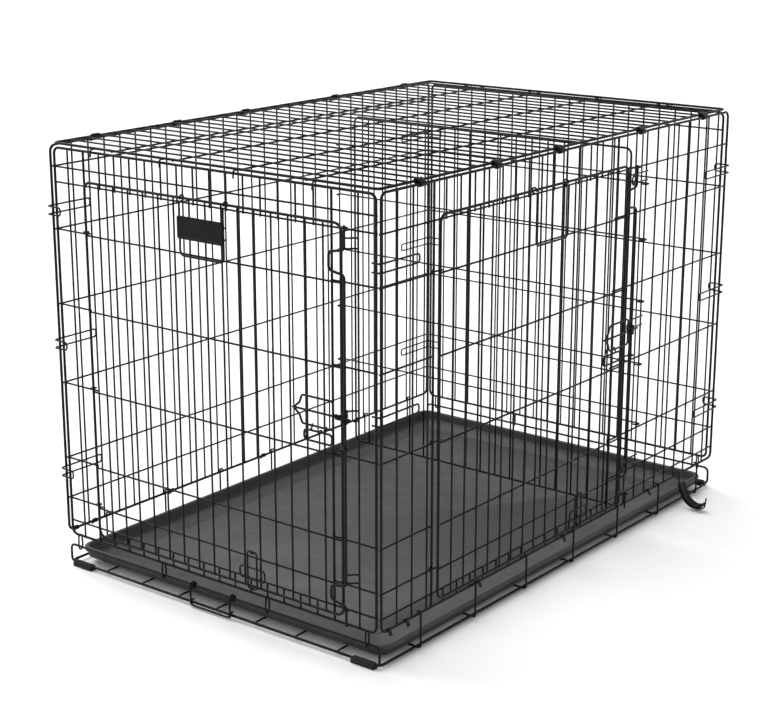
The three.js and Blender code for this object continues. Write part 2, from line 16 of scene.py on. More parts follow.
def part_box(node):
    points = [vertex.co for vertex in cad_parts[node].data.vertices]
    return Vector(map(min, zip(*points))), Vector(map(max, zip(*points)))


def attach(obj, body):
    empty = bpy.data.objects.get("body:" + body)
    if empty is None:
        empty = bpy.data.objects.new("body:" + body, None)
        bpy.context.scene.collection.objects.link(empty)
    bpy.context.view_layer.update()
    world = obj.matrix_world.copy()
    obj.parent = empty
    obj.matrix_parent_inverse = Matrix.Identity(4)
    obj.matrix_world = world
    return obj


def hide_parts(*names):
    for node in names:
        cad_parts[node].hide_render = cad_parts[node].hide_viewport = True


MM = 0.001
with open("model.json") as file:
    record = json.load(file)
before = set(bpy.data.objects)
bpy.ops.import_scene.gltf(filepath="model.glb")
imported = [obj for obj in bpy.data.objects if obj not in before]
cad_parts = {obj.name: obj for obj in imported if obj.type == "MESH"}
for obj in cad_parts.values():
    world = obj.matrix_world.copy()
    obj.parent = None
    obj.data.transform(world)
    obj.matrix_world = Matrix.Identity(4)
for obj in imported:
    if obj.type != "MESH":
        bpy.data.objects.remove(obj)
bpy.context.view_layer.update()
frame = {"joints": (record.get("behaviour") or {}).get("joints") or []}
joints = {joint["name"]: joint for joint in frame["joints"]}


def pivot(joint):
    """A joint's point, in millimetres."""
    return [value / MM for value in joints[joint]["pos_m"]]


# ---------- driving dimensions ----------

FRONT_X, MIDDLE_Y, LIP_Z = pivot("front_panel_fold")
REAR_X = pivot("rear_panel_fold")[0]
SIDE_JAMB_X, NEAR_Y, _ = pivot("side_door_swing")
FAR_Y = 2 * MIDDLE_Y - NEAR_Y
MIDDLE_X = (FRONT_X + REAR_X) / 2
LENGTH = REAR_X - FRONT_X
WIDTH = FAR_Y - NEAR_Y
HANDLE_X, _, SIDE_BOTTOM_Z = pivot("carry_handle_swing")
FRONT_JAMB_S = FAR_Y - pivot("front_door_swing")[1]
SIDE_JAMB_S = SIDE_JAMB_X - FRONT_X
DOOR_TOP_Z = pivot("side_bail_swing")[2]

FRAME_R = 2.35
JAMB_R = 2.1
MESH_R = 1.65
HARDWARE_R = 1.8
HOOK_R = 1.55
HINGE_R = 1.5
SIDES = 10
FRAME_BEND = 11
DEPTH = 2.9  # how far the level wires stand behind the uprights that they are welded to

FLOOR_Z = 7
END_BOTTOM_Z = 61
END_TOP_Z = 755
SIDE_TOP_Z = 757.5
TOP_Z = 762
OPENING_Z = (85, 695.5)
DOOR_BOTTOM_Z = 76.5
HIGH_RAIL_Z = 722
RAILS_Z = (127, 202, 340, 482, 614)
END_INSET = 9.5
SIDE_PITCH = LENGTH * 37.75 / 1067
SIDE_MARGIN_PITCH = 38.75
END_PITCH = 35.7
END_MARGINS_S = (42, 668)
REAR_GAPS = 20
SIDE_GAPS = 28
TOP_GAPS = 30
OPENING_WIDTH = 536.5
DOOR_BEFORE = 7.5
DOOR_OUT = 7
DOOR_WIDTH = 553
DOOR_BARS = 16
CLIPS_Z = (176, 411, 647)


# ---------- places ----------


def front_place(s, out, z):
    return (FRONT_X - out, FAR_Y - s, z)


def near_place(s, out, z):
    return (FRONT_X + s, NEAR_Y - out, z)


def rear_place(s, out, z):
    return (REAR_X + out, NEAR_Y + s, z)


def far_place(s, out, z):
    return (REAR_X - s, FAR_Y + out, z)


def middle_place(x, y, z):
    return (MIDDLE_X + x, MIDDLE_Y + y, z)


def door_place(wall, door_s):
    """A door's own place: from its hinge edge along the door, outwards from its plane, and up."""
    return lambda s, out, z: wall(door_s + s, DOOR_OUT + out, z)


# ---------- round wires ----------


def unit(vector):
    return vector / max(np.linalg.norm(vector), 1e-9)


def rounded_path(points, bend, closed):
    """The points with each corner replaced by an arc of that radius, as far as the straights allow."""
    points = np.asarray(points, float)
    count = len(points)
    if bend <= 0 or count < 3:
        return points
    path = []
    for i, point in enumerate(points):
        if not closed and i in (0, count - 1):
            path.append(point)
            continue
        back = points[i - 1] - point
        ahead = points[(i + 1) % count] - point
        turn = math.pi - math.acos(np.clip(np.dot(unit(back), unit(ahead)), -1, 1))
        if turn < 0.02:
            path.append(point)
            continue
        reach = bend * math.tan(turn / 2)
        reach = min(reach, 0.48 * np.linalg.norm(back), 0.48 * np.linalg.norm(ahead))
        radius = reach / math.tan(turn / 2)
        start = point + unit(back) * reach
        centre = point + unit(unit(back) + unit(ahead)) * radius / math.cos(turn / 2)
        steps = max(2, int(math.ceil(turn / math.radians(18))))
        first, last = start - centre, point + unit(ahead) * reach - centre
        for k in range(steps + 1):
            share = k / steps
            if turn < math.pi - 0.05:
                spoke = math.sin((1 - share) * turn) * first + math.sin(share * turn) * last
                spoke /= math.sin(turn)
            else:
                spoke = radius * unit((1 - share) * first + share * last)
            path.append(centre + spoke)
    return np.array(path)


def tube_rings(path, closed):
    """At each point, two unit vectors across the path, carried along without twist, and one along it."""
    count = len(path)
    ahead = np.roll(path, -1, 0) - path
    if not closed:
        ahead[-1] = ahead[-2]
    ahead = np.array([unit(a) for a in ahead])
    tangents = np.array([unit(ahead[i] + ahead[i - 1]) if closed or i else ahead[0] for i in range(count)])
    spread = np.cross(ahead[:-1], ahead[1:])
    size = np.linalg.norm(spread, axis=1) if len(spread) else np.zeros(0)
    if len(size) and size.max() > 1e-3:
        first = unit(spread[int(size.argmax())])
    else:
        first = unit(np.cross(tangents[0], (0, 0, 1) if abs(tangents[0][2]) < 0.9 else (1, 0, 0)))
    across = []
    for tangent in tangents:
        first = unit(first - np.dot(first, tangent) * tangent)
        across.append(first)
    across = np.array(across)
    return across, np.cross(tangents, across), tangents


class Wires:
    """Round wires that become one mesh."""

    def __init__(self, place):
        self.place = place
        self.verts = []
        self.faces = []

    def bend(self, points, radius, bend=0.0, closed=False, sides=SIDES):
        world = [self.place(*point) for point in points]
        self.add(rounded_path(world, bend, closed), radius, closed, sides)

    def bar(self, start, end, radius):
        self.bend([start, end], radius)

    def add(self, path, radius, closed, sides=SIDES):
        across, other, tangents = tube_rings(path, closed)
        rings = [(path[i], radius, across[i], other[i]) for i in range(len(path))]
        if not closed:
            head, tail = rings[0], rings[-1]
            dome = 0.45 * radius
            rings[0] = (head[0] + tangents[0] * dome, radius, head[2], head[3])
            rings.insert(0, (head[0] + tangents[0] * 0.12 * radius, 0.8 * radius, head[2], head[3]))
            rings.insert(0, (head[0], 0.45 * radius, head[2], head[3]))
            rings[-1] = (tail[0] - tangents[-1] * dome, radius, tail[2], tail[3])
            rings.append((tail[0] - tangents[-1] * 0.12 * radius, 0.8 * radius, tail[2], tail[3]))
            rings.append((tail[0], 0.45 * radius, tail[2], tail[3]))
        start = len(self.verts)
        for centre, r, a, b in rings:
            for k in range(sides):
                angle = 2 * math.pi * (k + 0.5) / sides
                self.verts.append(centre + r * (math.cos(angle) * a + math.sin(angle) * b))
        turns = len(rings) if closed else len(rings) - 1
        for i in range(turns):
            low, high = start + i * sides, start + (i + 1) % len(rings) * sides
            for k in range(sides):
                n = (k + 1) % sides
                self.faces.append((low + k, low + n, high + n, high + k))
        if not closed:
            end = start + (len(rings) - 1) * sides
            self.faces.append(tuple(start + k for k in reversed(range(sides))))
            self.faces.append(tuple(end + k for k in range(sides)))

    def loop(self, corner, across, up, width, height, radius, bend):
        """A closed rectangle with round corners, from its lowest corner, in the place's own directions."""
        corner, across, up = (np.asarray(v, float) for v in (corner, across, up))
        ends = ((0, 0), (width, 0), (width, height), (0, height))
        self.bend([corner + a * across + b * up for a, b in ends], radius, bend, closed=True)

    def eye(self, centre, first, second, size, radius, start=0.0, turn=360.0):
        """A round eye, or part of one, in the plane of two directions of the place."""
        centre, first, second = (np.asarray(v, float) for v in (centre, first, second))
        steps = max(6, int(turn / 24))
        whole = turn >= 360
        points = []
        for k in range(steps if whole else steps + 1):
            angle = math.radians(start + turn * k / steps)
            points.append(centre + size * (math.cos(angle) * first + math.sin(angle) * second))
        self.bend(points, radius, closed=whole)

    def piece(self, name, material, body, replaced=()):
        return finish_piece(make_mesh(name, self.verts, self.faces, material), body, replaced)


# ---------- pieces ----------


def make_mesh(name, verts, faces, material):
    """A mesh object from points in millimetres."""
    mesh = bpy.data.meshes.new(name)
    mesh.from_pydata([tuple(MM * value for value in v) for v in verts], [], faces)
    mesh.polygons.foreach_set("use_smooth", [True] * len(mesh.polygons))
    mesh.update()
    thing = bpy.data.objects.new(name, mesh)
    bpy.context.scene.collection.objects.link(thing)
    mesh.materials.append(material)
    return thing


def finish_piece(thing, body, replaced):
    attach(thing, body)
    for node in replaced:
        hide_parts(node)
    return thing


# ---------- materials ----------


def node_material(name, colour, roughness, metallic=0.0):
    """A Principled material, its node tree and its shader node."""
    material = bpy.data.materials.new(name)
    material.use_nodes = True
    tree = material.node_tree
    shader = tree.nodes["Principled BSDF"]
    shader.inputs["Base Color"].default_value = (*colour, 1)
    shader.inputs["Roughness"].default_value = roughness
    shader.inputs["Metallic"].default_value = metallic
    return material, tree, shader


def noise(tree, scale, detail, roughness=0.5):
    """Noise on the object's own coordinates, in features per metre."""
    where = tree.nodes.new("ShaderNodeTexCoord")
    texture = tree.nodes.new("ShaderNodeTexNoise")
    texture.inputs["Scale"].default_value = scale
    texture.inputs["Detail"].default_value = detail
    texture.inputs["Roughness"].default_value = roughness
    tree.links.new(where.outputs["Object"], texture.inputs["Vector"])
    return texture.outputs["Fac"]


def ramp(tree, value, low, high, start=0.3, end=0.7):
    """Maps a value between two greys or two colours."""
    node = tree.nodes.new("ShaderNodeValToRGB")
    low, high = (c if isinstance(c, tuple) else (c, c, c) for c in (low, high))
    node.color_ramp.elements[0].position = start
    node.color_ramp.elements[0].color = (*low, 1)
    node.color_ramp.elements[1].position = end
    node.color_ramp.elements[1].color = (*high, 1)
    tree.links.new(value, node.inputs["Fac"])
    return node.outputs["Color"]


def bump(tree, shader, height, distance, strength):
    node = tree.nodes.new("ShaderNodeBump")
    node.inputs["Distance"].default_value = distance
    node.inputs["Strength"].default_value = strength
    tree.links.new(height, node.inputs["Height"])
    tree.links.new(node.outputs["Normal"], shader.inputs["Normal"])


def coated_wire():
    """Black dip-coated steel: glossy, with slight pooling and duller patches."""
    material, tree, shader = node_material("coated_wire", (0.006, 0.006, 0.006), 0.35)
    patches = noise(tree, 35, 3)
    tree.links.new(ramp(tree, patches, 0.004, 0.007), shader.inputs["Base Color"])
    tree.links.new(ramp(tree, patches, 0.28, 0.42), shader.inputs["Roughness"])
    bump(tree, shader, noise(tree, 900, 2), 0.0002, 0.2)
    shader.inputs["Specular IOR Level"].default_value = 0.12
    return material


def tray_plastic():
    """Dark grey moulded plastic with a fine grain and faint scuffs."""
    material, tree, shader = node_material("tray_plastic", (0.033, 0.031, 0.031), 0.5)
    shader.inputs["Specular IOR Level"].default_value = 0.35
    cloud = noise(tree, 6, 4, 0.6)
    colours = (0.028, 0.026, 0.026), (0.036, 0.034, 0.034)
    tree.links.new(ramp(tree, cloud, *colours), shader.inputs["Base Color"])
    tree.links.new(ramp(tree, noise(tree, 22, 5, 0.65), 0.42, 0.6), shader.inputs["Roughness"])
    bump(tree, shader, noise(tree, 1400, 3, 0.6), 0.0003, 0.35)
    return material


def moulded_black():
    """Satin black plastic, lightly grained."""
    material, tree, shader = node_material("moulded_black", (0.007, 0.007, 0.007), 0.42)
    shader.inputs["Specular IOR Level"].default_value = 0.1
    cloud = noise(tree, 60, 3)
    tree.links.new(ramp(tree, cloud, 0.005, 0.008), shader.inputs["Base Color"])
    tree.links.new(ramp(tree, cloud, 0.36, 0.5), shader.inputs["Roughness"])
    bump(tree, shader, noise(tree, 1800, 2), 0.0002, 0.3)
    return material


def rubber():
    """Matt black rubber with a dusty bloom."""
    material, tree, shader = node_material("rubber", (0.012, 0.012, 0.012), 0.8)
    shader.inputs["Specular IOR Level"].default_value = 0.2
    cloud = noise(tree, 90, 4)
    colours = (0.009, 0.009, 0.009), (0.022, 0.021, 0.021)
    tree.links.new(ramp(tree, cloud, *colours), shader.inputs["Base Color"])
    tree.links.new(ramp(tree, cloud, 0.7, 0.9), shader.inputs["Roughness"])
    bump(tree, shader, noise(tree, 1500, 3), 0.0003, 0.4)
    return material


WIRE = coated_wire()
TRAY = tray_plastic()
BLACK = moulded_black()
RUBBER = rubber()

ALONG = (1, 0, 0)
OUT = (0, 1, 0)
UP = (0, 0, 1)


# ---------- wall panels ----------

KEEPERS_Z = ((670, 686), (403, 419), (138, 152))
KEEPER = {"near": 3, "out": 12.3}
LIP_EYES_S = (28, 237, 474, 683)
CLIP = {"half": 7, "reach": 88, "out": 4.4, "past": 8.5}


def weave(wires, uprights, rails, low, high, left, right):
    """Uprights in the panel's plane, and level wires welded on behind them."""
    for s in uprights:
        wires.bar((s, 0, low), (s, 0, high), MESH_R)
    for z in rails:
        wires.bar((left - 1, -DEPTH, z), (right + 1, -DEPTH, z), MESH_R)


def wall_frame(wires, left, right, low, high):
    wires.loop((left, 0, low), ALONG, UP, right - left, high - low, FRAME_R, FRAME_BEND)


def doorway(wires, left, right, low, high, jamb_s, full, stubs):
    """The wires round a doorway: jambs, margins, and stubs below and above the opening."""
    latch_s = jamb_s + OPENING_WIDTH
    wall_frame(wires, left, right, low, high)
    for s in (jamb_s, latch_s):
        wires.bar((s, 0, low), (s, 0, high), JAMB_R)
    weave(wires, full, (), low, high, left, right)
    weave(wires, stubs, (), low, OPENING_Z[0] + 2, left, right)
    weave(wires, stubs, (), OPENING_Z[1] - 2, high, left, right)
    weave(wires, (), OPENING_Z, low, high, left, right)
    weave(wires, (), RAILS_Z, low, high, left, jamb_s)
    weave(wires, (), RAILS_Z, low, high, latch_s, right)


def keepers(wires, door_edge, root_s):
    """Wire loops on the margin, which step out beside the latch rod and turn back."""
    near, out = KEEPER["near"], KEEPER["out"]
    for low, high in KEEPERS_Z:
        legs = [(root_s, near), (door_edge + 24, near), (door_edge + 17, out), (door_edge + 6.5, out)]
        there = [(s, o, high) for s, o in legs]
        back = [(s, o, low) for s, o in reversed(legs)]
        wires.bend(there + back, HOOK_R, 5)


def lip_eyes(wires):
    """Long eyes on an end panel's bottom wire, which turn on the floor's lip wire."""
    for s in LIP_EYES_S:
        wires.bend([(s, 3.6, END_BOTTOM_Z + 1), (s, 4.6, LIP_Z + 3), (s, 2.5, LIP_Z - 5),
                    (s, -2.5, LIP_Z - 5), (s, -4.6, LIP_Z + 3), (s, -3.6, END_BOTTOM_Z + 1)], HOOK_R, 5)


def corner_clips(wires, corner_s, inwards, end=-27, closed=True):
    """Long wire loops on the outside of a side, whose short ends lie over the end panel's post."""
    out = CLIP["out"]
    tip = corner_s - inwards * CLIP["past"]
    far = corner_s + inwards * CLIP["reach"]
    for z in CLIPS_Z:
        high, low = z + CLIP["half"], z - CLIP["half"]
        there = [(tip, end, high), (tip, out, high), (far, out, high)]
        back = [(s, o, low) for s, o, _ in reversed(there)]
        wires.bend(there + back, HOOK_R, 5, closed=closed)


END_LEFT, END_RIGHT = END_INSET, WIDTH - END_INSET
FRONT_DOOR_S = FRONT_JAMB_S + DOOR_BEFORE
SIDE_DOOR_S = SIDE_JAMB_S + DOOR_BEFORE


def front_panel():
    wires = Wires(front_place)
    stubs = [FRONT_JAMB_S + 1.5 + k * END_PITCH for k in range(1, 15)]
    doorway(wires, END_LEFT, END_RIGHT, END_BOTTOM_Z, END_TOP_Z, FRONT_JAMB_S, END_MARGINS_S, stubs)
    weave(wires, (), (HIGH_RAIL_Z,), END_BOTTOM_Z, END_TOP_Z, END_LEFT, END_RIGHT)
    keepers(wires, FRONT_DOOR_S + DOOR_WIDTH, END_MARGINS_S[1] + 1)
    lip_eyes(wires)
    return wires.piece("front_panel_wires", WIRE, "front_panel", ["front_panel"])


def near_panel():
    wires = Wires(near_place)
    full = [k * SIDE_MARGIN_PITCH for k in range(1, 4)] + [LENGTH - k * SIDE_PITCH for k in range(1, 10)]
    stubs = [LENGTH - k * SIDE_PITCH for k in range(11, 25)]
    doorway(wires, 0, LENGTH, SIDE_BOTTOM_Z, SIDE_TOP_Z, SIDE_JAMB_S, full, stubs)
    keepers(wires, SIDE_DOOR_S + DOOR_WIDTH, LENGTH - 8 * SIDE_PITCH + 1)
    corner_clips(wires, 0, 1, end=-11, closed=False)
    corner_clips(wires, LENGTH, -1)
    return wires.piece("near_side_wires", WIRE, "crate", ["near_side_panel"])


def rear_panel():
    wires = Wires(rear_place)
    wall_frame(wires, END_LEFT, END_RIGHT, END_BOTTOM_Z, END_TOP_Z)
    gap = (END_RIGHT - END_LEFT) / REAR_GAPS
    uprights = [END_LEFT + k * gap for k in range(1, REAR_GAPS)]
    weave(wires, uprights, RAILS_Z + (HIGH_RAIL_Z,), END_BOTTOM_Z, END_TOP_Z, END_LEFT, END_RIGHT)
    lip_eyes(wires)
    return wires.piece("rear_panel_wires", WIRE, "rear_panel", ["rear_panel"])


def far_panel():
    wires = Wires(far_place)
    wall_frame(wires, 0, LENGTH, SIDE_BOTTOM_Z, SIDE_TOP_Z)
    uprights = [k * SIDE_PITCH for k in range(1, SIDE_GAPS)]
    weave(wires, uprights, RAILS_Z + (HIGH_RAIL_Z,), SIDE_BOTTOM_Z, SIDE_TOP_Z, 0, LENGTH)
    corner_clips(wires, 0, 1)
    corner_clips(wires, LENGTH, -1)
    return wires.piece("far_side_wires", WIRE, "crate", ["far_side_panel"])


front_panel()
near_panel()
rear_panel()
far_panel()

# ---------- doors and their hardware ----------

ROD = {"s": DOOR_WIDTH + 14, "out": 10.2, "r": 2.15, "crank": 30, "top": 706, "bottom": 66}
CRANKS_Z = ((104, 130), (634, 664))
GUIDES = ((702, 7), (360, 0), (94.5, 0))
HANDLE_Z = 409
HINGE_EYES_Z = (131.25, 344.25, 618.25)
PADDLE = {"tip": 85, "end": 6, "half": 23}
FINGER = {"tip": 72, "out": 5.6, "low": 357, "width": 56, "height": 17}
BAIL = {"width": 95, "drop": 92, "out": 6.0}
BAIL_S = {"front": 272.5, "side": 303}
CATCH_S = {"front": 365, "side": 412}
CATCH_LOOPS = ((20, 66, 74), (54, 20, 91))
CATCH_BARS_Z = (78, 137)
PLATE = {"width": 99, "height": 37.5, "low": 641, "thick": 2.6}


def door_wires(place, label):
    wires = Wires(place)
    wires.loop((0, 0, DOOR_BOTTOM_Z), ALONG, UP, DOOR_WIDTH, DOOR_TOP_Z - DOOR_BOTTOM_Z, FRAME_R, 13)
    gap = DOOR_WIDTH / DOOR_BARS
    for k in range(1, DOOR_BARS):
        wires.bar((k * gap, 0.8, DOOR_BOTTOM_Z), (k * gap, 0.8, DOOR_TOP_Z), MESH_R)
    for z in RAILS_Z:
        wires.bar((-1, -1.9, z), (DOOR_WIDTH + 1, -1.9, z), MESH_R)
    # The hinge: the level wires' ends curl round the jamb.
    for z in HINGE_EYES_Z:
        centre = (-DOOR_BEFORE, -DOOR_OUT, z)
        wires.eye(centre, ALONG, OUT, 4.4, HINGE_R, start=20, turn=325)
        wires.bend([(10, -1.2, z), (0, 0, z), (-3.2, -3.4, z), (-3.3, -6, z)], HINGE_R, 3)
    # The rod's guides: open eyes on arms from the latch edge.
    for z, start in GUIDES:
        centre = (ROD["s"], ROD["out"], z)
        wires.eye(centre, ALONG, OUT, 4.8, HOOK_R, start=-165, turn=330)
        arm = [(DOOR_WIDTH - start, 0, z), (DOOR_WIDTH + 3, 6, z), (ROD["s"] - 4.6, ROD["out"] - 1.3, z)]
        wires.bend(arm, HOOK_R, 3)
    return wires.piece(f"{label}_door_wires", WIRE, f"{label}_door", [f"{label}_door"])


def latch_rod(place, label):
    """The upright rod with its two cranks."""
    wires = Wires(place)
    s, out, crank = ROD["s"], ROD["out"], ROD["crank"]
    path = [(s, out, ROD["bottom"])]
    for low, high in CRANKS_Z:
        path += [(s, out, low - 4), (s - crank, out, low + 1), (s - crank, out, high - 1), (s, out, high + 4)]
    path.append((s, out, ROD["top"]))
    wires.bend(path, ROD["r"], 7, sides=12)
    return wires.piece(f"{label}_latch_rod_wire", WIRE, f"{label}_latch", [f"{label}_latch_rod"])


def coil(reach, turns, length, steps=14):
    """A helix's points as (a, b, distance along its length)."""
    count = turns * steps
    angles = [2 * math.pi * k / steps for k in range(count + 1)]
    return [(reach * math.cos(t), reach * math.sin(t), length * k / count) for k, t in enumerate(angles)]


def latch_paddle(place, label):
    """A bracket-shaped double loop with a centre bolt, wound onto the rod."""
    wires = Wires(place)
    out = ROD["out"] + ROD["r"] + HARDWARE_R + 0.4
    tip, end, half = DOOR_WIDTH - PADDLE["tip"], DOOR_WIDTH - PADDLE["end"], PADDLE["half"]
    upper = [(end, half), (tip + 17, half), (tip + 12, 10)]
    lower = [(s, -rise) for s, rise in reversed(upper)]
    outline = [(s, out, HANDLE_Z + rise) for s, rise in upper + [(tip, 0)] + lower]
    wires.bend(outline, HARDWARE_R, 5, closed=True)
    wires.bar((tip - 3, out, HANDLE_Z), (DOOR_WIDTH + 28, out, HANDLE_Z), HARDWARE_R)
    # The windings: the paddle's wire round the rod, and a shorter one round the bolt.
    reach = ROD["r"] + HOOK_R + 0.15
    wound = [(ROD["s"] + a, ROD["out"] + b, HANDLE_Z + (c - 9)) for a, b, c in coil(reach, 5, 18)]
    wires.bend(wound, HOOK_R)
    reach = HARDWARE_R + HOOK_R - 0.2
    wound = [(ROD["s"] - 16 + c, out + a, HANDLE_Z + b) for a, b, c in coil(reach, 3, 10)]
    wires.bend(wound, HOOK_R * 0.9)
    return wires.piece(f"{label}_latch_paddle_wire", WIRE, f"{label}_latch", [f"{label}_latch_paddle"])


def finger_loop(place, label):
    wires = Wires(place)
    corner = (DOOR_WIDTH - FINGER["tip"], FINGER["out"], FINGER["low"])
    wires.loop(corner, ALONG, UP, FINGER["width"], FINGER["height"], HARDWARE_R, 6)
    for s in (DOOR_WIDTH - 58, DOOR_WIDTH - 30):
        foot_z = FINGER["low"] + FINGER["height"]
        wires.bend([(s, FINGER["out"], foot_z), (s, 3.4, foot_z + 5), (s, 1.2, foot_z + 10)], HOOK_R, 3)
    return wires.piece(f"{label}_finger_loop_wire", WIRE, f"{label}_door", [f"{label}_finger_loop"])


def bottom_catch(place, label):
    """Two crossed loops that slide on the door's wires."""
    wires = Wires(place)
    out, s = FRAME_R + HOOK_R + 1.2, CATCH_S[label]
    for width, height, low in CATCH_LOOPS:
        wires.loop((s - width / 2, out, low), ALONG, UP, width, height, HOOK_R, 6)
    for z in CATCH_BARS_Z:
        wires.bar((s - 4, out + 0.4, z), (s + 4, out + 0.4, z), HOOK_R)
    return wires.piece(f"{label}_catch_wire", WIRE, f"{label}_catch", [f"{label}_bottom_catch"])


def bail(place, label):
    """A wire stirrup that hangs by two eyes on the door's top wire."""
    wires = Wires(place)
    left, right = (BAIL_S[label] + sign * BAIL["width"] / 2 for sign in (-1, 1))
    high, low, out = DOOR_TOP_Z - 3, DOOR_TOP_Z - BAIL["drop"], BAIL["out"]
    wires.bend([(left, out, high), (left, out, low), (right, out, low), (right, out, high)], HARDWARE_R, 9)
    for s in (left, right):
        wires.eye((s, 0, DOOR_TOP_Z), OUT, UP, 4.8, HOOK_R, start=-25, turn=320)
    return wires.piece(f"{label}_bail_wire", WIRE, f"{label}_bail", [f"{label}_bail"])


# ---------- lofts and sweeps ----------


def loft(name, rings, material):
    """A closed mesh through rings of equal count; its two ends are flat."""
    count = len(rings[0])
    verts = [point for ring in rings for point in ring]
    faces = []
    for r in range(len(rings) - 1):
        for i in range(count):
            j = (i + 1) % count
            a, b = r * count, (r + 1) * count
            faces.append((a + i, a + j, b + j, b + i))
    last = (len(rings) - 1) * count
    faces.append(tuple(reversed(range(count))))
    faces.append(tuple(last + i for i in range(count)))
    return outward(make_mesh(name, verts, faces, material))


def outward(thing):
    """Turns a closed mesh's faces outwards."""
    form = bmesh.new()
    form.from_mesh(thing.data)
    bmesh.ops.recalc_face_normals(form, faces=form.faces)
    form.to_mesh(thing.data)
    form.free()
    return thing


def rounded_ring(half_a, half_b, corner, steps=6, straights=1):
    """A rectangle with round corners, as (a, b) points anticlockwise."""
    ring = []
    for quarter, (sa, sb) in enumerate(((1, 1), (-1, 1), (-1, -1), (1, -1))):
        for i in range(steps + 1):
            angle = (quarter + i / steps) * math.pi / 2
            a = sa * (half_a - corner) + corner * math.cos(angle)
            b = sb * (half_b - corner) + corner * math.sin(angle)
            ring.append((a, b))
    if straights > 1:
        full = []
        for i, (a, b) in enumerate(ring):
            full.append((a, b))
            if i % (steps + 1) == steps:
                c, d = ring[(i + 1) % len(ring)]
                shares = [k / straights for k in range(1, straights)]
                full += [(a + (c - a) * share, b + (d - b) * share) for share in shares]
        ring = full
    return ring


def crease(thing, degrees):
    """Shades smooth, with edges sharper than that many degrees kept sharp."""
    form = bmesh.new()
    form.from_mesh(thing.data)
    for edge in form.edges:
        edge.smooth = not (len(edge.link_faces) == 2 and edge.calc_face_angle(0) > math.radians(degrees))
    form.to_mesh(thing.data)
    form.free()
    return thing


def nameplate(place):
    """A blank plate with a raised border, in front of the bail."""
    width, height, thick = PLATE["width"] / 2, PLATE["height"] / 2, PLATE["thick"]
    back = BAIL["out"] + HARDWARE_R + 0.4
    middle_z = PLATE["low"] + height
    rings = []
    edge = ((0.8, 0), (0, 0.7), (0, thick - 0.9), (0.3, thick - 0.3), (0.9, thick))
    for inset, out in edge + ((3.2, thick), (4.0, thick - 0.8)):
        ring = rounded_ring(width - inset, height - inset, max(4 - inset, 1.2))
        rings.append([place(BAIL_S["front"] + a, back + out, middle_z + b) for a, b in ring])
    plate = crease(loft("nameplate_blank", rings, BLACK), 35)
    return finish_piece(plate, "front_bail", ["nameplate"])


def plate_clips(place):
    """Four rings round the bail's legs, behind the plate."""
    wires = Wires(place)
    for s in (-BAIL["width"] / 2, BAIL["width"] / 2):
        for z in (PLATE["low"] + 9, PLATE["low"] + 28):
            wires.eye((BAIL_S["front"] + s, BAIL["out"], z), ALONG, OUT, HARDWARE_R + 1.0, 1.2)
    return wires.piece("nameplate_clips", BLACK, "front_bail")


PLACES = {"front": door_place(front_place, FRONT_DOOR_S), "side": door_place(near_place, SIDE_DOOR_S)}
for label, place in PLACES.items():
    for make in (door_wires, latch_rod, latch_paddle, finger_loop, bottom_catch, bail):
        make(place, label)
nameplate(PLACES["front"])
plate_clips(PLACES["front"])

# ---------- floor, top, divider ----------

CROSS = {"first": 95, "pitch": 151.25, "count": 7}
FLOOR_HALF_Y = WIDTH / 2 - 3.5
TOP_HALF_X, TOP_HALF_Y = LENGTH / 2 - 3, WIDTH / 2 - 6.5
FLOOR_WIRE_PITCH = 88
TOP_RAIL_SHARES = (-0.6, -0.2, 0.2, 0.6)
TOP_HOOKS_Y = (-230, -70, 90, 250)
DIVIDER = {"x": LENGTH / 2 - 8 * SIDE_PITCH + 6.2, "half": 320, "low": 38, "top": 721}
DIVIDER_RAILS_Z = (211, 326, 445, 560, 662)
DIVIDER_GAPS = 18


def floor_panel():
    wires = Wires(middle_place)
    half_x = LENGTH / 2
    wires.loop((-half_x, -FLOOR_HALF_Y, FLOOR_Z), ALONG, OUT, LENGTH, 2 * FLOOR_HALF_Y, FRAME_R, FRAME_BEND)
    for k in range(-3, 4):
        y = k * FLOOR_WIRE_PITCH
        wires.bar((-half_x, y, FLOOR_Z + 0.3), (half_x, y, FLOOR_Z + 0.3), MESH_R)
    # Cross wires turn up outside the long sides and hook over their bottom wires.
    out_y, in_y, hook_z = WIDTH / 2 + 5.2, WIDTH / 2 - 3, SIDE_BOTTOM_Z + 5.1
    for k in range(CROSS["count"]):
        x = CROSS["first"] + k * CROSS["pitch"] - half_x
        half = [(in_y, hook_z), (out_y, hook_z), (out_y, FLOOR_Z - 0.6)]
        points = [(x, -y, z) for y, z in half] + [(x, y, z) for y, z in reversed(half)]
        wires.bend(points, MESH_R + 0.1, 5)
    # Each end's lip: a level wire on two corner uprights.
    for x in (-half_x, half_x):
        y = FLOOR_HALF_Y
        rise = [(-y + 14, FLOOR_Z), (-y, FLOOR_Z), (-y, LIP_Z)]
        lip = rise + [(-b, z) for b, z in reversed(rise)]
        wires.bend([(x, b, z) for b, z in lip], JAMB_R, 9)
    return wires.piece("floor_wires", WIRE, "crate", ["floor_panel"])


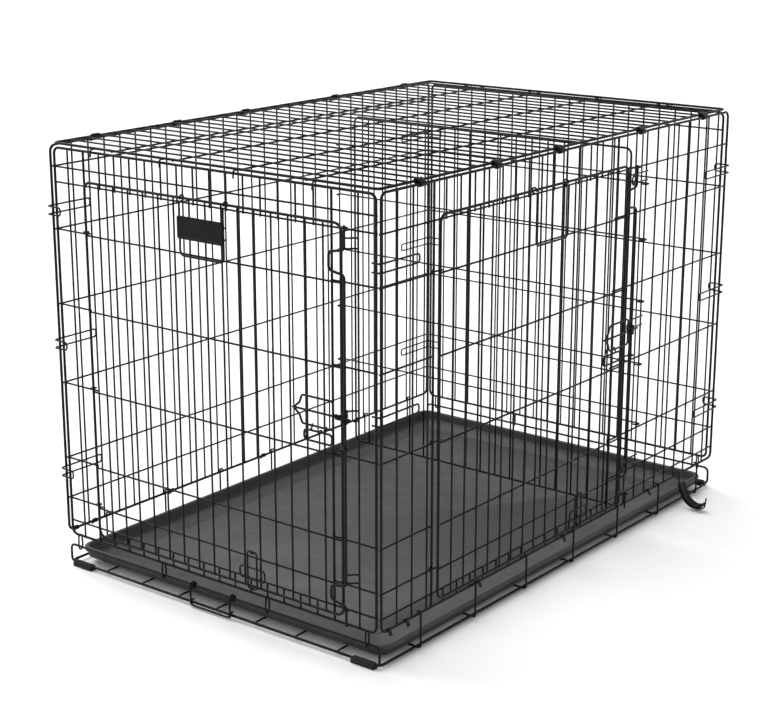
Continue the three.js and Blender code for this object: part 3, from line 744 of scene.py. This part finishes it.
def top_panel():
    wires = Wires(middle_place)
    wires.loop((-TOP_HALF_X, -TOP_HALF_Y, TOP_Z), ALONG, OUT, 2 * TOP_HALF_X, 2 * TOP_HALF_Y, FRAME_R, 9)
    for k in range(1, TOP_GAPS):
        x = k * 2 * TOP_HALF_X / TOP_GAPS - TOP_HALF_X
        wires.bar((x, -TOP_HALF_Y, TOP_Z + 0.8), (x, TOP_HALF_Y, TOP_Z + 0.8), MESH_R)
    for share in TOP_RAIL_SHARES:
        y = share * TOP_HALF_Y
        wires.bar((-TOP_HALF_X - 1, y, TOP_Z - 2.2), (TOP_HALF_X + 1, y, TOP_Z - 2.2), MESH_R)
    # Hooks over the end panels' top wires.
    for x, sign in ((-LENGTH / 2, -1), (LENGTH / 2, 1)):
        for y in TOP_HOOKS_Y:
            hook = ((-18, TOP_Z - 2), (6, TOP_Z - 1), (6.5, TOP_Z - 14))
            wires.bend([(x + sign * out, y, z) for out, z in hook], HOOK_R, 4)
    return wires.piece("top_wires", WIRE, "crate", ["top_panel"])


def divider_panel():
    wires = Wires(middle_place)
    x, half, low, top = (DIVIDER[key] for key in ("x", "half", "low", "top"))
    wires.loop((x, -half, low), OUT, UP, 2 * half, top - low, JAMB_R, 12)
    for k in range(1, DIVIDER_GAPS):
        y = -half + 2 * half * k / DIVIDER_GAPS
        wires.bar((x, y, low), (x, y, top), MESH_R)
    out_y = WIDTH / 2 + 4.4
    for z in DIVIDER_RAILS_Z:
        hook = [(x - 12, out_y - 9), (x - 12, out_y), (x - 1, out_y)]
        points = [(a, -y, z) for a, y in hook] + [(a, y, z) for a, y in reversed(hook)]
        wires.bend(points, HOOK_R, 4)
    return wires.piece("divider_wires", WIRE, "crate", ["divider_panel"])


floor_panel()
top_panel()
divider_panel()

# ---------- tray and its stop ----------

TRAY_SHAPE = {"half_x": 519, "half_y": 350, "corner": 26}
FLUTE_DEPTH = 0.9
# The tray's section, from the middle of its underside over the rim to its floor: (inset, height).
TRAY_UNDER = ((60, 11), (9.8, 11), (7.8, 11.9), (7.1, 13.6), (6.0, 21.2), (4.9, 22.6), (2.0, 23.0),
              (0.9, 23.8))
TRAY_OVER = ((0.1, 28.6), (0.5, 30.0), (1.7, 30.9), (3.2, 31.2), (6.6, 31.2), (8.0, 30.6), (9.0, 29.0),
             (10.8, 17.2), (12.0, 14.9), (15.0, 13.6), (60, 13.5), (61, 13.0), (66, 13.0), (67, 13.5))


def tray():
    """A shallow moulded tray: a turned-down rim over a drafted wall, with fluted corners."""
    half_x, half_y, corner = (TRAY_SHAPE[key] for key in ("half_x", "half_y", "corner"))
    steps, straights, flutes = 28, 24, 7
    rings = []
    for inset, z in TRAY_UNDER + TRAY_OVER:
        ring = rounded_ring(half_x - inset, half_y - inset, max(corner - inset, 6), steps, straights)
        points = []
        fluted = 13 <= z <= 28.5 and 1 < inset < 13
        for i, (a, b) in enumerate(ring):
            place_in = i % (steps + straights)
            if fluted and 0 < place_in < steps:
                wave = FLUTE_DEPTH * (1 - math.cos(2 * math.pi * flutes * place_in / steps)) / 2
                length = math.hypot(a, b)
                a, b = a * (1 - wave / length), b * (1 - wave / length)
            points.append((MIDDLE_X + a, MIDDLE_Y + b, z))
        rings.append(points)
    thing = crease(loft("tray_moulding", rings, TRAY), 50)
    return finish_piece(thing, "tray", ["tray"])


STOP = {"s": (305, 395), "out": 6.5, "low": 4.8}


def tray_stop():
    """A stirrup that hangs on the front lip and keeps the tray in."""
    wires = Wires(front_place)
    left, right = STOP["s"]
    out, low = STOP["out"], STOP["low"]
    wires.bend([(left, out, LIP_Z), (left, out, low), (right, out, low), (right, out, LIP_Z)], HARDWARE_R, 7)
    for s in STOP["s"]:
        wires.eye((s, 0, LIP_Z), OUT, UP, 5.3, HARDWARE_R, start=-10, turn=330)
        wires.eye((s + 3.4, 0, LIP_Z), OUT, UP, 4.6, 1.8)
        wires.eye((s, 0, FLOOR_Z), OUT, UP, 6.2, HARDWARE_R, start=-25, turn=135)
    return wires.piece("tray_stop_wire", WIRE, "tray_stop", ["tray_stop"])


tray()
tray_stop()

# ---------- feet, clips, carry handle ----------


def sweep(name, path, axis, outline, material, closed=False):
    """Carries an outline along a flat path: outline points are (along the axis, across the path)."""
    path = [np.asarray(p, float) for p in path]
    axis = np.asarray(axis, float)
    count = len(path)
    rings = []
    for i, point in enumerate(path):
        before = path[i - 1] if closed or i else point
        after = path[(i + 1) % count] if closed or i + 1 < count else point
        across = unit(np.cross(axis, after - before))
        shrink = 1.0
        if not closed and i in (0, count - 1):
            shrink = 0.82
        rings.append([point + shrink * (a * axis + b * across) for a, b in outline])
    if not closed:
        return loft(name, rings, material)
    size = len(outline)
    verts = [p for ring in rings for p in ring]
    faces = []
    for r in range(count):
        a, b = r * size, (r + 1) % count * size
        faces += [(a + i, a + (i + 1) % size, b + (i + 1) % size, b + i) for i in range(size)]
    return outward(make_mesh(name, verts, faces, material))


FOOT_LENGTH = 46


def foot(place, name, s):
    """A rubber sleeve round the floor's end wire, flat underneath."""
    side = [(6.5, 1.2), (6.5, 6.8), (4.9, 9.6), (1.8, 10.6)]
    section = side + [(-out, z) for out, z in reversed(side)] + [(-5.4, 0), (5.4, 0)]
    ends = [(0, 0.88), (1.2, 0.98), (2.5, 1.0)]
    rings = []
    for along, shrink in ends + [(FOOT_LENGTH - a, shrink) for a, shrink in reversed(ends)]:
        heights = [z if z == 0 else 1.2 + (z - 1.2) * shrink for _, z in section]
        rings.append([place(s + along, out * shrink, z) for (out, _), z in zip(section, heights)])
    thing = crease(loft(name + "_sleeve", rings, RUBBER), 60)
    return finish_piece(thing, "crate", [name])


FOOT_S = {"left": 12, "right": WIDTH - 12 - FOOT_LENGTH}
for wall, place in (("front", front_place), ("rear", rear_place)):
    for side, s in FOOT_S.items():
        foot(place, f"foot_{wall}_{side}", s)


def band_outline(width, thick):
    return rounded_ring(width / 2, thick / 2, thick * 0.45, steps=3)


def top_clip(x, side, name):
    """A strip wound round a long side's top wire and the top's edge wire."""
    y, z = side * WIDTH / 2, SIDE_TOP_Z
    dy, dz = -side * (WIDTH / 2 - TOP_HALF_Y), TOP_Z - SIDE_TOP_Z
    lean, reach = math.atan2(dz, dy), FRAME_R + 1.5
    path = []
    for (mid_y, mid_z), start in (((y + dy, z + dz), lean - math.pi / 2), ((y, z), lean + math.pi / 2)):
        for k in range(9):
            angle = start + math.pi * k / 8
            path.append(middle_place(x, mid_y + reach * math.cos(angle), mid_z + reach * math.sin(angle)))
    band = sweep(name + "_band", path, ALONG, band_outline(16, 1.5), WIRE, closed=True)
    return finish_piece(crease(band, 50), "crate", [name])


for label, side in (("near", -1), ("far", 1)):
    for number in range(1, 6):
        node = f"top_clip_{label}_{number}"
        low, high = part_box(node)
        top_clip((low.x + high.x) / 2 / MM - MIDDLE_X, side, node)


def floor_clip(x, side, name):
    """A short strip clip round a long side's bottom wire, with a turned-down tail."""
    y, z, reach = side * WIDTH / 2, SIDE_BOTTOM_Z, FRAME_R + 0.9
    path = [middle_place(x, y + side * (reach + out), z - drop) for out, drop in ((3.4, 8), (1.4, 4))]
    for k in range(11):
        angle = math.radians(-15 + 250 * k / 10)
        path.append(middle_place(x, y + side * reach * math.cos(angle), z + reach * math.sin(angle)))
    thing = crease(sweep(name, path, ALONG, band_outline(8, 1.8), WIRE), 50)
    return finish_piece(thing, "crate", ())


FLOOR_CLIPS_S = (17, 62, 260, 519, 818)
for label, side in (("near", -1), ("far", 1)):
    for number, s in enumerate(FLOOR_CLIPS_S, 1):
        floor_clip(s - LENGTH / 2, side, f"floor_clip_{label}_{number}")

GRIP_PATH = ((10, 50), (15, 35), (25, 19), (38, 10.5), (51, 9.5), (60, 15))


def smooth_path(points, steps):
    """A Catmull-Rom curve through points of a plane."""
    points = [np.asarray(p, float) for p in points]
    padded = [2 * points[0] - points[1]] + points + [2 * points[-1] - points[-2]]
    path = []
    for i in range(len(points) - 1):
        a, b, c, d = padded[i : i + 4]
        square, cube = 2 * a - 5 * b + 4 * c - d, 3 * b - a - 3 * c + d
        for k in range(steps):
            t = k / steps
            path.append(0.5 * (2 * b + (c - a) * t + square * t**2 + cube * t**3))
    return path + [points[-1]]


def carry_handle():
    """A moulded strap with a rim along each edge, and the bent wire that carries it."""
    s = HANDLE_X - FRONT_X
    flat = smooth_path(GRIP_PATH, 6)
    path = [near_place(s, out, z) for out, z in flat]
    face = [(9.4, 3.1), (7.6, 3.1), (7.0, 2.2), (-7.0, 2.2), (-7.6, 3.1), (-9.4, 3.1), (-9.7, 0)]
    outline = face + [(-a, -b) for a, b in face]
    grip = crease(sweep("carry_handle_strap", path, ALONG, outline, BLACK), 40)
    finish_piece(grip, "carry_handle", ["carry_handle_grip"])
    wires = Wires(near_place)
    reach = 3.2 + HOOK_R + 0.6
    beside = []
    for i, point in enumerate(flat):
        run = unit(flat[min(i + 1, len(flat) - 1)] - flat[max(i - 1, 0)])
        beside.append((s, point[0] + run[1] * reach, point[1] - run[0] * reach))
    outer = [(s, out, max(z, HOOK_R + 0.6)) for _, out, z in beside]
    wires.bend([(s, 6, SIDE_BOTTOM_Z - 2)] + outer + [(s, 66, 30)], HOOK_R, 3)
    wires.eye((s, 0, SIDE_BOTTOM_Z), OUT, UP, 5.9, HOOK_R, start=-20, turn=320)
    wires.piece("carry_handle_bent_wire", WIRE, "carry_handle", ["carry_handle_wire"])


carry_handle()

# ---------- floor, light and camera ----------


def stage_material():
    material, tree, shader = node_material("studio_floor", (0.93, 0.93, 0.93), 0.9)
    tree.links.new(ramp(tree, noise(tree, 3, 2), 0.925, 0.935), shader.inputs["Base Color"])
    return material


def stage_floor(half=15000):
    corners = [(-half, -half, 0), (half, -half, 0), (half, half, 0), (-half, half, 0)]
    floor = make_mesh("studio_floor", corners, [(0, 1, 2, 3)], stage_material())


def lamp(data, place, towards):
    """Puts a light at a place, turned along a direction."""
    thing = bpy.data.objects.new(data.name, data)
    thing.location = place
    thing.rotation_euler = Vector(towards).to_track_quat("-Z", "Y").to_euler()
    bpy.context.scene.collection.objects.link(thing)


def studio():
    stage_floor()
    # The sky is white round the horizon and dimmer overhead, and a broad sun from behind is the key light.
    world = bpy.data.worlds.new("studio")
    world.use_nodes = True
    tree = world.node_tree
    where = tree.nodes.new("ShaderNodeTexCoord")
    height = tree.nodes.new("ShaderNodeSeparateXYZ")
    tree.links.new(where.outputs["Generated"], height.inputs["Vector"])
    sky = ramp(tree, height.outputs["Z"], 1.0, 0.62, 0.2, 0.5)
    tree.links.new(sky, tree.nodes["Background"].inputs["Color"])
    bpy.context.scene.world = world
    sun = bpy.data.lights.new("key", "SUN")
    sun.energy = 2.7
    sun.angle = math.radians(50)
    lamp(sun, (0, 0, 0), (-0.1, -0.7, -1.0))
    fill = bpy.data.lights.new("front_fill", "AREA")
    fill.shape = "RECTANGLE"
    fill.size, fill.size_y = 2.2, 1.6
    fill.energy = 8
    lamp(fill, (-3.2, -1.2, 1.9), (3.2, 1.2, -1.55))
    bpy.context.scene.view_settings.view_transform = "Standard"


# Two angles in degrees, the focal length in sensor widths, and where the near bottom corner lies from the
# camera, in crate heights.
CAMERA = {"turn": 38.15, "down": 15.73, "focal": 2.31107, "right": -0.0055, "below": 0.6552, "ahead": 3.6413}


def camera():
    """Looks at the crate from outside its front and near side."""
    turn, down = (math.radians(CAMERA[key]) for key in ("turn", "down"))
    ahead = Vector((math.cos(turn) * math.cos(down), math.sin(turn) * math.cos(down), -math.sin(down)))
    right = Vector((math.sin(turn), -math.cos(turn), 0))
    up = right.cross(ahead)
    corner = Vector((FRONT_X, NEAR_Y, 0)) * MM
    scale = TOP_Z * MM
    data = bpy.data.cameras.new("camera")
    data.sensor_width = 36
    data.lens = 36 * CAMERA["focal"]
    data.clip_end = 100
    view = bpy.data.objects.new("camera", data)
    offset = CAMERA["right"] * right - CAMERA["below"] * up + CAMERA["ahead"] * ahead
    view.location = corner - scale * offset
    view.rotation_euler = Matrix((right, up, -ahead)).transposed().to_euler()
    bpy.context.scene.collection.objects.link(view)
    bpy.context.scene.camera = view


studio()
camera()
